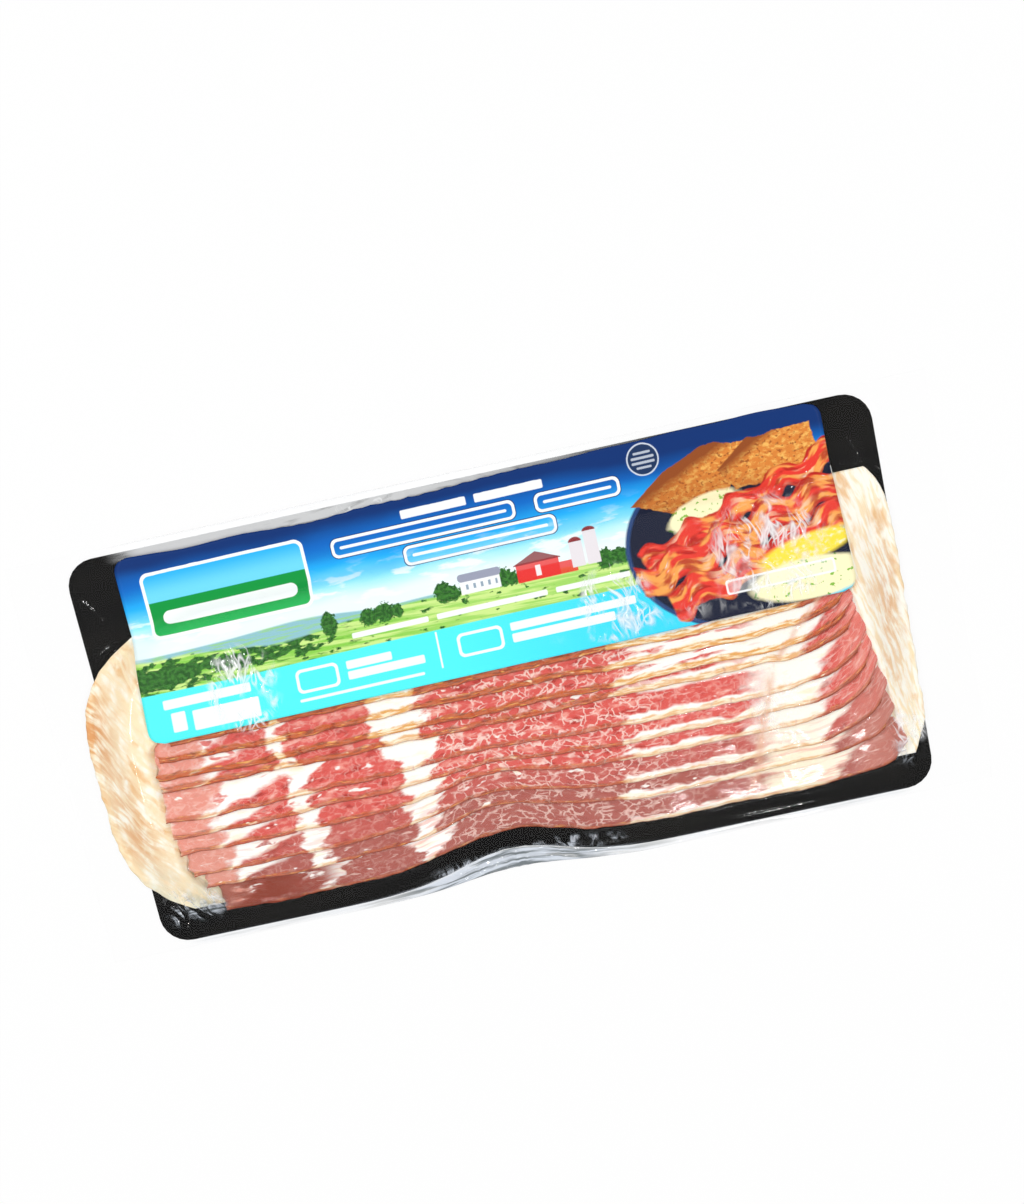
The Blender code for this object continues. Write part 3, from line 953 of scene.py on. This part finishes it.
# long creases: points along each, then height and half width
filmCreases = [
    ([(-138, -66), (-90, -66), (-52, -63), (-12, -57.5), (22, -62), (70, -67), (136, -68)], 0.8, 0.9),
    ([(106, 4), (92, -10), (82, -20), (76, -34), (79, -48), (86, -58)], -0.9, 2.6),
    ([(-60, -68), (-40, -65), (-14, -60), (12, -64), (40, -68)], 1.2, 0.9),
    ([(-45, -71), (-30, -68), (-10, -64), (10, -68), (20, -71)], 1.3, 0.8),
    ([(-138, 62), (-130, 50), (-128, 30)], 0.5, 0.8),
    ([(128, 60), (133, 48), (141, 44)], 0.5, 0.8),
    ([(-143, 26), (-136, 37), (-125, 43)], 0.7, 0.8),
    ([(123, 49), (134, 48), (142, 43)], 0.7, 0.8),
    ([(-120, -63.5), (-80, -63), (-45, -58)], 0.6, 0.7),
    ([(30, -60.5), (70, -64.5), (132, -64)], 0.6, 0.7),
    ([(-115, 72.2), (-60, 71.8), (-10, 72.2)], 0.5, 0.6),
    ([(-132, -50), (-124, -57), (-118, -64)], 0.8, 0.8),
    ([(-136, -56), (-126, -60), (-112, -66)], 0.6, 0.7),
]
# patches of crumpled film: middle, reach, height
filmCrumples = [
    (-88, 18, 15, 17, 0.95), (42, 20, 16, 15, 0.8), (96, 26, 24, 22, 0.8), (-30, 70, 70, 4, 0.5),
    (-6, -66, 40, 6, 0.9), (-126, -58, 14, 11, 0.8), (133, -50, 9, 16, 0.6), (60, 12, 60, 5, 0.3),
    (86, -30, 16, 30, 0.3),
]


def creaseLift(x, y):
    total = 0.0
    for points, height, half in filmCreases:
        best = 1e9
        share = 0.0
        count = len(points) - 1
        for k, ((ax, ay), (bx, by)) in enumerate(zip(points, points[1:])):
            dx, dy = bx - ax, by - ay
            t = min(1.0, max(0.0, ((x - ax) * dx + (y - ay) * dy) / (dx * dx + dy * dy)))
            gap = sqrt((x - ax - dx * t) ** 2 + (y - ay - dy * t) ** 2)
            if gap < best:
                best = gap
                share = (k + t) / count
        if best < half * 3.0:
            total += height * bell(best / half) * min(1.0, 6.0 * share, 6.0 * (1.0 - share))
    return total


def ridge(x, y, z):  # 1 along a crest, falling steeply away from it
    return max(0.0, 1.0 - abs(noise.noise(Vector((x, y, z)))) * 2.6) ** 2


def crumpleLift(x, y):
    total = 0.0
    for middleX, middleY, reachX, reachY, height in filmCrumples:
        a = ((x - middleX) / reachX) ** 2 + ((y - middleY) / reachY) ** 2
        if a < 1.0:
            first = ridge((x + y * 0.3) / 5.0, y / 13.0, height * 9.0)
            second = ridge(x / 3.4 - y / 9.0, y / 9.0, height * 5.0)
            total += height * (1.0 - a) * (first + 0.35 * second)
    return total


def filmPlace(u, v):
    x = (u - 0.5) * (pouchHigh[0] - pouchLow[0])
    front = filmSpec["filmDip"] * dip(x) + pouchLow[1]
    y = front + (pouchHigh[1] - front) * v
    edge = noise.noise(Vector((x / 0.03, y / 0.03, 4.0))) * 1.2 * mm
    x += edge * ramp(0.44, 0.5, abs(u - 0.5))
    return x, y


def onBoard(x, y):  # 1 over the board, 0 clear of it
    halfX = boardHigh[0]
    low = boardLow[1] + dip(x)
    corner = 10 * mm
    outX = max(abs(x) - halfX + corner, 0.0)
    outY = max(y - boardHigh[1] + corner, low - y + corner, 0.0)
    away = sqrt(outX ** 2 + outY ** 2) - corner
    return ramp(2.5 * mm, 0.2 * mm, away)


def filmTop(x, y):
    board = onBoard(x, y)
    content = stackHeight(x, y)
    flat = filmSpec["rimZ"] + board * (boardHigh[2] + 0.25 * mm)
    over = stack["bottomZ"] + content + filmSpec["clearance"]
    near = ramp(0.0, 2.0 * mm, content)
    z = flat * (1.0 - near) + max(flat, over) * near
    bare = ramp(labelLow[1] + 1 * mm, labelLow[1] - 2 * mm, y)
    shifted = y - hook(x, y) - sliceShift(x, y)
    layer = layerAt(shifted)
    z += filmSpec["stepRelief"] * (0.5 - layer % 1.0) * near * bare * ramp(125 * mm, 112 * mm, abs(x))
    z += noise.noise(Vector((x / 0.012, y / 0.008, 0.0))) * filmSpec["ripple"] * (0.4 + near)
    swell = (noise.noise(Vector((x / 0.02, y / 0.05, 9.0))) + 0.35) * filmSpec["marginWave"]
    z += (1.0 - board) * (1.0 - near) * swell * ramp(0.0, 6 * mm, pouchHigh[0] - abs(x))
    z += creaseLift(x / mm, y / mm) * mm
    z += crumpleLift(x / mm, y / mm) * mm * ramp(-76 * mm, -71 * mm, y)
    return max(z, filmSpec["rimZ"] * 0.5)


filmPiece = sheetPiece(
    "clearFilm", filmSpec["cellsX"], filmSpec["cellsY"], filmPlace, filmTop, underZ=filmSpec["underZ"],
)


def gatheredAt(x, y):  # 1 where the film lies in several layers: in front, and along the label's rear edge
    outside = y - (boardLow[1] + dip(x * mm)) / mm
    fold = 1.7 * bell((x + 14.0) / 34.0) + 0.3 * ramp(-2.4, -1.0, outside) * ramp(134.0, 122.0, abs(x))
    front = ramp(0.8, -0.6, outside) * min(1.0, fold)
    labelRear = (x * mm * labelSpec["turn"] - labelDent(x * mm)) / mm + 2.4
    rear = 0.6 * ramp(66.6, 67.6, y - labelRear) * ramp(-126.0, -112.0, x) * ramp(96.0, -20.0, x)
    return max(front, rear)


def crumpledAt(x, y):
    total = 0.0
    for middleX, middleY, reachX, reachY, height in filmCrumples:
        total += max(0.0, 1.0 - ((x - middleX) / reachX) ** 2 - ((y - middleY) / reachY) ** 2) * height
    return total


for attributeName, rule in (("gathered", gatheredAt), ("crumpled", crumpledAt)):
    layer = filmPiece.data.attributes.new(attributeName, "FLOAT", "POINT")
    for vert in filmPiece.data.vertices:
        layer.data[vert.index].value = rule(vert.co.x / mm, vert.co.y / mm) if vert.co.z > 0 else 0.0


def mixShader(amount, first, second):
    return addNode(amount.tree, "ShaderNodeMixShader", {0: amount, 1: first, 2: second})


# painted light on the film: a white sheen and glints, a silver sheen in the folds, and shade in the folds
filmLook = palette(
    whitened=(252, 253, 254), silver=(206, 213, 223), shadow=(106, 114, 118),
)
filmFinish = {"IOR": 1.22, "Roughness": 0.07}
silverFinish = {"IOR": 1.45, "Roughness": 0.12}


def filmMaterial():  # clear, with a painted silver sheen and painted shade where it is gathered, and painted white glints along the sharp creases
    material, tree, shader = newMaterial("clearFilm")
    x, y, z = objectPlace(tree)
    folded = y - dip(x * mm) / mm * 0.8
    front = ramp(-50, -60, y)
    # painted shade: darker patches in the front folds
    dark = ramp(0.56, 0.40, grain(x / 22, folded / 1.3, 7, 3)) * front
    # base colour: painted white sheen, painted silver sheen at the front, painted shade patches
    sheen = blend(blend(filmLook["whitened"], filmLook["silver"], front), filmLook["shadow"], dark)
    fill(shader, {"Base Color": sheen, **silverFinish})
    streaky = ramp(0.30, 0.46, grain(x / 14, folded / 2, 2, 3)) * 0.4 + 0.58
    # painted silver sheen where the film lies in layers
    silver = attribute(tree, "gathered", "Fac") * streaky
    bend = grain(x / 12, y / 12, 11, 1) * 4
    creased = 1 - size(grain((x + y * 0.25) / 2.6 + bend, y / 11, 31, 1) - 0.5) * 12
    creased = most(creased, 1 - size(grain((x - y * 0.35) / 4.4 + bend, y / 14, 51, 1) - 0.5) * 16)
    creased = most(creased, 0) * ramp(0.10, 0.55, attribute(tree, "crumpled", "Fac"))
    # painted white glints along the crumpled creases
    whitened = creased * ramp(0.40, 0.60, grain(x / 6, y / 9, 71)) * 0.8
    fine = grain(x / 3, y / 3, z / 3, 3)
    streaks = grain((x + y * 0.4) / 6, (y - x * 0.2) / 1.2, 5)
    bump = bumpOf(fine + streaks * 0.6 + creased * 3, 0.05 * mm)
    clear = addNode(tree, "ShaderNodeBsdfTransparent", {})
    shine = addNode(tree, "ShaderNodeBsdfGlossy", {"Roughness": filmFinish["Roughness"], "Normal": bump})
    # only outer faces mirror, or light is trapped between the two films
    outer = 1 - addNode(tree, "ShaderNodeNewGeometry", {}, "Backfacing")
    mirror = addNode(tree, "ShaderNodeFresnel", {"IOR": filmFinish["IOR"], "Normal": bump}) * outer
    thin = mixShader(mirror, clear, shine)
    full = mixShader(least(most(silver, whitened), 1), thin, Wire(tree, shader.outputs[0]))
    plug(full, tree.nodes["Material Output"].inputs[0])
    return material


filmPiece.data.materials.append(filmMaterial())
print("film made:", len(filmPiece.data.polygons), "faces")

for piece in (filmPiece, baconRows, fatLeft, fatRight, labelPiece):
    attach(piece, "root")
    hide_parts("label" if piece is labelPiece else "pouch")


# Studio: white floor, pale surround, soft lamps

studio = {
    "worldLight": 0.50, "floorZ": -0.3 * mm, "floorSize": 3.0,
    "floorPaint": (0.85, 0.85, 0.85, 1.0), "floorGlow": 0.92, "seenRays": ("Camera", "Glossy", "Transmission"),
    "lamps": [  # place, size, power
        ((-0.62, 0.42, 0.90), 0.10, 4.0),
        ((0.72, 0.12, 0.80), 0.08, 2.5),
        ((0.16, -0.85, 0.70), 0.08, 2.0),
        ((-0.70, -0.25, 0.75), 0.055, 1.0),
        ((0.30, 0.75, 0.85), 0.06, 1.25),
    ],
    "camera": (0.0253, 0.1551, 0.6071), "turn": (-12.171, -0.969, -12.307), "lens": 53.82,
}


def seenRay(tree):  # 1 for what the camera sees, straight, in a mirror or through the film
    path = tree.nodes.new("ShaderNodeLightPath")
    camera, glossy, through = [Wire(tree, path.outputs["Is %s Ray" % kind]) for kind in studio["seenRays"]]
    return least(camera + glossy + through, 1.0)


def studioFloor():
    half = studio["floorSize"] / 2
    mesh = bpy.data.meshes.new("floor")
    z = studio["floorZ"]
    corners = [(-half, -half, z), (half, -half, z), (half, half, z), (-half, half, z)]
    mesh.from_pydata(corners, [], [(0, 1, 2, 3)])
    material, tree, shader = newMaterial("paleFloor")
    tree.nodes.remove(shader)
    matt = addNode(tree, "ShaderNodeBsdfDiffuse", {"Color": studio["floorPaint"]})
    bright = addNode(tree, "ShaderNodeEmission", {"Strength": 1.0})
    floorShine = mixShader(seenRay(tree) * studio["floorGlow"], matt, bright)
    plug(floorShine, tree.nodes["Material Output"].inputs[0])
    mesh.materials.append(material)
    addPiece("floor", mesh)


def studioWorld():
    world = bpy.data.worlds.new("surround")
    bpy.context.scene.world = world
    world.use_nodes = True
    strength = seenRay(world.node_tree) * (1.0 - studio["worldLight"]) + studio["worldLight"]
    fill(world.node_tree.nodes["Background"], {"Color": (1.0, 1.0, 1.0, 1.0), "Strength": strength})


def studioLamps():
    for number, (place, width, power) in enumerate(studio["lamps"]):
        data = bpy.data.lights.new("lamp%d" % number, "AREA")
        data.shape = "SQUARE"
        data.size = width
        data.energy = power
        lamp = addPiece("lamp%d" % number, data)
        lamp.location = place
        lamp.rotation_euler = (-Vector(place)).to_track_quat("-Z", "Y").to_euler()


def studioCamera():
    data = bpy.data.cameras.new("camera")
    data.lens = studio["lens"]
    data.sensor_width = 36.0
    camera = addPiece("camera", data)
    camera.location = studio["camera"]
    camera.rotation_euler = [radians(turn) for turn in studio["turn"]]
    bpy.context.scene.camera = camera


studioFloor()
studioWorld()
studioLamps()
studioCamera()
bpy.context.scene.view_settings.view_transform = "Standard"
print("studio made")
